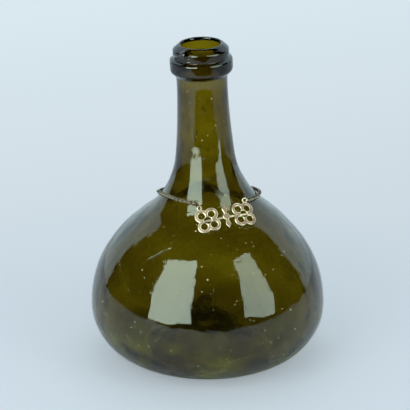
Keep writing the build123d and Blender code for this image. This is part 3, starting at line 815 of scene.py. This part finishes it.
def makeTarnishAndShadeGroup():
    # Tarnish on plated metal: noise patches, more in hollows, less on rubbed edges. On the chain and jump rings, the
    # hollow share is painted shade on the side of the wire facing the ring's hole.
    group, start, end = nodeGroup(
        "tarnishAndShade", [("Hollow", "NodeSocketFloat", 0.0), ("Rubbed", "NodeSocketFloat", 0.0),
                    ("Patch Size", "NodeSocketFloat", 600.0)],
        [("Amount", "NodeSocketFloat"), ("Grain", "NodeSocketFloat")])
    place = addNode(group, "ShaderNodeTexCoord", (-900, -200))
    patches = addNode(group, "ShaderNodeTexNoise", (-600, 100), Detail=4.0, Roughness=0.6)
    grain = addNode(group, "ShaderNodeTexNoise", (-600, -250), Scale=3500.0, Detail=2.0)
    more = addNode(group, "ShaderNodeMath", (-350, 100), operation="MULTIPLY_ADD")
    more.inputs[1].default_value = 0.6
    less = addNode(group, "ShaderNodeMath", (-150, 100), operation="SUBTRACT")
    shaped = addNode(group, "ShaderNodeMapRange", (100, 100))
    shaped.inputs["From Min"].default_value = 0.15
    shaped.inputs["From Max"].default_value = 1.0
    link = group.links.new
    link(place.outputs["Object"], patches.inputs["Vector"])
    link(place.outputs["Object"], grain.inputs["Vector"])
    link(start.outputs["Patch Size"], patches.inputs["Scale"])
    link(start.outputs["Hollow"], more.inputs[0])
    link(patches.outputs["Fac"], more.inputs[2])
    link(more.outputs["Value"], less.inputs[0])
    link(start.outputs["Rubbed"], less.inputs[1])
    link(less.outputs["Value"], shaped.inputs["Value"])
    link(shaped.outputs["Result"], end.inputs["Amount"])
    link(grain.outputs["Fac"], end.inputs["Grain"])
    return group


def metalMaterial(name, tarnishAndShade, scratches, patchSize, base, dark, engraved):
    # Plated metal: a warm silver that goes to a brown tarnish, with pale rubbed edges; on the chain and jump rings, the
    # dark side facing each ring's hole is painted shade.
    material, tree, shader, output = newMaterial(name)
    link = tree.links.new
    shader.inputs["Metallic"].default_value = 1.0
    stainAndShade = addNode(tree, "ShaderNodeGroup", (-500, 0), node_tree=tarnishAndShade)
    stainAndShade.inputs["Patch Size"].default_value = patchSize
    worn = addNode(tree, "ShaderNodeGroup", (-500, -300), node_tree=scratches)
    worn.inputs["Scale"].default_value = 9.0
    worn.inputs["Amount"].default_value = 0.5
    colour = addNode(tree, "ShaderNodeMix", (-200, 100), data_type="RGBA")
    colour.inputs["A"].default_value = base
    colour.inputs["B"].default_value = dark
    link(stainAndShade.outputs["Amount"], colour.inputs["Factor"])
    last = colour
    if engraved:
        # This attribute carries tarnish into the label's engraved grooves and painted shade onto the side of each chain
        # link facing its hole.
        hollow = addNode(tree, "ShaderNodeAttribute", (-800, 100), attribute_name="groove_tarnish_and_link_shade")
        rubbed = addNode(tree, "ShaderNodeAttribute", (-800, -100), attribute_name="rubbed")
        link(hollow.outputs["Fac"], stainAndShade.inputs["Hollow"])
        link(rubbed.outputs["Fac"], stainAndShade.inputs["Rubbed"])
        last = addNode(tree, "ShaderNodeMix", (50, 100), data_type="RGBA")
        last.inputs["B"].default_value = finish["rubbedGilt"]
        link(colour.outputs["Result"], last.inputs["A"])
        link(rubbed.outputs["Fac"], last.inputs["Factor"])
    link(last.outputs["Result"], shader.inputs["Base Color"])
    rough = addNode(tree, "ShaderNodeMapRange", (50, -150))
    rough.inputs["To Min"].default_value = 0.28
    rough.inputs["To Max"].default_value = 0.62
    link(stainAndShade.outputs["Amount"], rough.inputs["Value"])
    link(rough.outputs["Result"], shader.inputs["Roughness"])
    height = addNode(tree, "ShaderNodeMath", (-50, -350), operation="SUBTRACT")
    link(stainAndShade.outputs["Grain"], height.inputs[0])
    link(worn.outputs["Mask"], height.inputs[1])
    bump = addNode(tree, "ShaderNodeBump", (200, -350), Strength=0.5, Distance=0.00002)
    link(height.outputs["Value"], bump.inputs["Height"])
    link(bump.outputs["Normal"], shader.inputs["Normal"])
    return material


# Studio: a pale sweep behind, a dark room in front and two window-like soft boxes

studio = dict(
    # The near paper colour is a painted glow; shadowLift is its share by the bottle, lightening the shadow there.
    paper=(0.640, 0.700, 0.765, 1), nearPaperGlow=(0.612, 0.698, 0.760, 1), shadowLift=0.45, backdrop=(0.700, 0.805, 0.865, 1),
    roomMirrored=(0.014, 0.014, 0.015, 1), roomThrough=(0.28, 0.30, 0.31, 1), ambient=(0.54, 0.61, 0.65, 1),
    leftEdge=-58.0, rightEdge=65.0, topEdge=62.0,
    tableLeft=-0.80, tableRight=0.85, tableFront=-0.48, tableBack=0.6, mirroredBackdrop=(0.80, 1.02, 1.10, 1),
    lightTint=(0.96, 1.0, 0.97), glowTint=(0.80, 1.0, 0.83),
)
softBoxes = (
    dict(name="left_soft_box", azimuth=-39.5, distance=0.53, height=0.39, turn=10.4, tilt=7.0, roll=5.2,
         wide=0.40, tall=0.73, light=2.2, glow=7.6),
    dict(name="right_soft_box", azimuth=54.5, distance=0.59, height=0.44, turn=-11.0, tilt=-1.0, roll=-8.5,
         wide=0.325, tall=0.76, light=1.7, glow=5.0),
    dict(name="top_soft_box", azimuth=180.0, distance=0.45, height=0.85, turn=0.0, tilt=62.0, roll=0.0,
         wide=0.70, tall=0.70, light=1.2, glow=0.0),
)


def makeSoftBoxes():
    # Panels on either side of the camera, leaning over the table: one lights the paper, and one in the
    # same place is what the glass mirrors. Power is brightness times pi times area. Azimuth 0 is the front.
    for box in softBoxes:
        azimuth, facing = math.radians(box["azimuth"]), math.radians(box["azimuth"] + box["turn"])
        tilt, roll = math.radians(box["tilt"]), math.radians(box["roll"])
        towards, side = Vector((-math.sin(facing), math.cos(facing), 0)), Vector((math.cos(facing), math.sin(facing), 0))
        leaning = Vector((0, 0, math.cos(tilt))) + towards * math.sin(tilt)
        face = towards * math.cos(tilt) - Vector((0, 0, math.sin(tilt)))
        across = side * math.cos(roll) + leaning * math.sin(roll)
        upright = leaning * math.cos(roll) - side * math.sin(roll)
        turned = Matrix((across, upright, -face)).transposed().to_4x4()
        place = Vector((math.sin(azimuth), -math.cos(azimuth), 0)) * box["distance"] + Vector((0, 0, box["height"]))
        for kind, tint, mirrored in (("light", studio["lightTint"], False), ("glow", studio["glowTint"], True)):
            if not box[kind]:
                continue
            lamp = bpy.data.lights.new(f"{box['name']}_{kind}", "AREA")
            lamp.shape, lamp.size, lamp.size_y = "RECTANGLE", box["wide"], box["tall"]
            lamp.energy = box[kind] * math.pi * box["wide"] * box["tall"]
            lamp.color = tint
            panel = bpy.data.objects.new(lamp.name, lamp)
            panel.matrix_world = Matrix.Translation(place + face * (0.01 if mirrored else 0)) @ turned
            panel.visible_camera = panel.visible_transmission = False
            panel.visible_glossy, panel.visible_diffuse = mirrored, not mirrored
            bpy.context.collection.objects.link(panel)


def makeWorld():
    # Pale for what the camera sees, even and dim for light, and for what the glass shows pale behind
    # and dark in front.
    s = studio
    world = bpy.data.worlds.new("studio")
    world.use_nodes = True
    bpy.context.scene.world = world
    tree = world.node_tree
    tree.nodes.clear()
    link = tree.links.new
    place = addNode(tree, "ShaderNodeTexCoord", (-1100, 0))
    parts = addNode(tree, "ShaderNodeSeparateXYZ", (-900, 0))
    link(place.outputs["Generated"], parts.inputs["Vector"])
    azimuth = addNode(tree, "ShaderNodeMath", (-700, 100), operation="ARCTAN2")
    link(parts.outputs["X"], azimuth.inputs[0])
    link(parts.outputs["Y"], azimuth.inputs[1])
    pastLeft = addNode(tree, "ShaderNodeMath", (-500, 200), operation="GREATER_THAN")
    pastLeft.inputs[1].default_value = math.radians(s["leftEdge"])
    beforeRight = addNode(tree, "ShaderNodeMath", (-500, 50), operation="LESS_THAN")
    beforeRight.inputs[1].default_value = math.radians(s["rightEdge"])
    belowTop = addNode(tree, "ShaderNodeMath", (-500, -100), operation="LESS_THAN")
    belowTop.inputs[1].default_value = math.sin(math.radians(s["topEdge"]))
    link(azimuth.outputs["Value"], pastLeft.inputs[0])
    link(azimuth.outputs["Value"], beforeRight.inputs[0])
    link(parts.outputs["Z"], belowTop.inputs[0])
    between = addNode(tree, "ShaderNodeMath", (-300, 100), operation="MULTIPLY")
    onPaper = addNode(tree, "ShaderNodeMath", (-150, 50), operation="MULTIPLY")
    link(pastLeft.outputs["Value"], between.inputs[0])
    link(beforeRight.outputs["Value"], between.inputs[1])
    link(between.outputs["Value"], onPaper.inputs[0])
    link(belowTop.outputs["Value"], onPaper.inputs[1])
    path = addNode(tree, "ShaderNodeLightPath", (-300, 500))
    room = addNode(tree, "ShaderNodeMix", (-100, -150), data_type="RGBA")
    room.inputs["A"].default_value = s["roomMirrored"]
    room.inputs["B"].default_value = s["roomThrough"]
    link(path.outputs["Is Transmission Ray"], room.inputs["Factor"])
    around = addNode(tree, "ShaderNodeMix", (50, 50), data_type="RGBA")
    paper = addNode(tree, "ShaderNodeMix", (-100, -350), data_type="RGBA")
    paper.inputs["A"].default_value = s["mirroredBackdrop"]
    paper.inputs["B"].default_value = s["backdrop"]
    link(path.outputs["Is Transmission Ray"], paper.inputs["Factor"])
    link(paper.outputs["Result"], around.inputs["B"])
    link(room.outputs["Result"], around.inputs["A"])
    link(onPaper.outputs["Value"], around.inputs["Factor"])
    lit = addNode(tree, "ShaderNodeMix", (250, 100), data_type="RGBA")
    lit.inputs["B"].default_value = s["ambient"]
    link(path.outputs["Is Diffuse Ray"], lit.inputs["Factor"])
    link(around.outputs["Result"], lit.inputs["A"])
    shown = addNode(tree, "ShaderNodeMix", (450, 200), data_type="RGBA")
    shown.inputs["B"].default_value = s["backdrop"]
    link(path.outputs["Is Camera Ray"], shown.inputs["Factor"])
    link(lit.outputs["Result"], shown.inputs["A"])
    background = addNode(tree, "ShaderNodeBackground", (650, 200))
    output = addNode(tree, "ShaderNodeOutputWorld", (850, 200))
    link(shown.outputs["Result"], background.inputs["Color"])
    link(background.outputs["Background"], output.inputs["Surface"])


def floorMaterial():
    # Pale paper that takes the shadow near the bottle, where a share of painted glow lightens the shadow,
    # and goes over to a glow of the backdrop's colour, made paler towards the back left as painted light.
    s = studio
    material, tree, shader, output = newMaterial("paper_sweep")
    link = tree.links.new
    shader.inputs["Base Color"].default_value = s["paper"]
    shader.inputs["Roughness"].default_value = 0.9
    shader.inputs["Specular IOR Level"].default_value = 0.1
    place = addNode(tree, "ShaderNodeTexCoord", (-700, 100))
    away = addNode(tree, "ShaderNodeVectorMath", (-500, 100), operation="LENGTH")
    share = addNode(tree, "ShaderNodeMapRange", (-300, 100), interpolation_type="SMOOTHSTEP")
    share.inputs["From Min"].default_value = 0.12
    share.inputs["From Max"].default_value = 0.30
    # Painted glow: a share of emission lightens the shadow on the paper near the bottle.
    share.inputs["To Min"].default_value = s["shadowLift"]
    path = addNode(tree, "ShaderNodeLightPath", (-500, 400))
    seen = addNode(tree, "ShaderNodeMath", (-300, 400), operation="MAXIMUM")
    some = addNode(tree, "ShaderNodeMath", (-100, 250), operation="MULTIPLY")
    # Painted light: the paper's glow grows paler towards the back left.
    slope = addNode(tree, "ShaderNodeVectorMath", (-500, -150), operation="DOT_PRODUCT")
    slope.inputs[1].default_value = (-0.45, 1.0, 0.0)
    further = addNode(tree, "ShaderNodeMapRange", (-300, -150))
    further.inputs["From Min"].default_value = 0.12
    further.inputs["From Max"].default_value = 0.80
    tone = addNode(tree, "ShaderNodeMix", (-100, -200), data_type="RGBA")
    tone.inputs["A"].default_value = s["nearPaperGlow"]
    tone.inputs["B"].default_value = s["backdrop"]
    glow = addNode(tree, "ShaderNodeEmission", (100, -200))
    mixed = addNode(tree, "ShaderNodeMixShader", (650, 100))
    link(place.outputs["Object"], slope.inputs[0])
    link(slope.outputs["Value"], further.inputs["Value"])
    link(further.outputs["Result"], tone.inputs["Factor"])
    link(tone.outputs["Result"], glow.inputs["Color"])
    link(place.outputs["Object"], away.inputs[0])
    link(away.outputs["Value"], share.inputs["Value"])
    link(path.outputs["Is Camera Ray"], seen.inputs[0])
    link(path.outputs["Is Transmission Ray"], seen.inputs[1])
    link(share.outputs["Result"], some.inputs[0])
    link(seen.outputs["Value"], some.inputs[1])
    link(some.outputs["Value"], mixed.inputs["Fac"])
    link(shader.outputs["BSDF"], mixed.inputs[1])
    link(glow.outputs["Emission"], mixed.inputs[2])
    link(mixed.outputs["Shader"], output.inputs["Surface"])
    return material


def makeFloor():
    # A table of paper that the glass mirrors, and the same paper further out that it doesn't.
    s = studio
    material = floorMaterial()
    reach = 6.0
    sheets = (("paper_table", (s["tableLeft"], s["tableFront"]), (s["tableRight"], s["tableBack"]), 0.0, True),
              ("paper_beyond", (-reach, -reach), (reach, reach), -0.0004, False))
    for name, low, high, height, mirrored in sheets:
        corners = [(low[0], low[1], height), (high[0], low[1], height), (high[0], high[1], height), (low[0], high[1], height)]
        mesh = bpy.data.meshes.new(name)
        mesh.from_pydata(corners, [], [(0, 1, 2, 3)])
        mesh.materials.append(material)
        sheet = bpy.data.objects.new(name, mesh)
        sheet.visible_glossy = mirrored
        bpy.context.collection.objects.link(sheet)


# Camera, fitted to the outline in the photograph

cameraPlace = dict(distance=1.400, down=21.0, aimHeight=0.09297, aside=-0.00158, lens=206.8, sensor=36.0)


def makeCamera():
    c = cameraPlace
    down = math.radians(c["down"])
    data = bpy.data.cameras.new("camera")
    data.lens, data.sensor_width, data.clip_start, data.clip_end = c["lens"], c["sensor"], 0.05, 30.0
    camera = bpy.data.objects.new("camera", data)
    camera.location = (c["aside"], -c["distance"] * math.cos(down), c["aimHeight"] + c["distance"] * math.sin(down))
    camera.rotation_euler = (math.pi / 2 - down, 0, 0)
    bpy.context.collection.objects.link(camera)
    bpy.context.scene.camera = camera
    bpy.context.scene.view_settings.view_transform = "Standard"


makeCamera()
makeWorld()
makeSoftBoxes()
makeFloor()
print("studio done")
scratchGroup, tarnishAndShadeGroup = makeScratchGroup(), makeTarnishAndShadeGroup()
makeGlass(glassMaterial(scratchGroup, makeResidueGroup()))
wireMetal = metalMaterial("plated_wire", tarnishAndShadeGroup, scratchGroup, 900.0, finish["dullWire"], finish["sootAndShade"], True)
sheetMetal = metalMaterial("plated_sheet", tarnishAndShadeGroup, scratchGroup, 500.0, finish["silver"], finish["copperTone"], True)
barMetal = metalMaterial("plated_bar", tarnishAndShadeGroup, scratchGroup, 700.0, finish["silver"], finish["copperTone"], False)
makeChain(wireMetal)
makeJumpRings(wireMetal)
makeLabel(sheetMetal, barMetal)
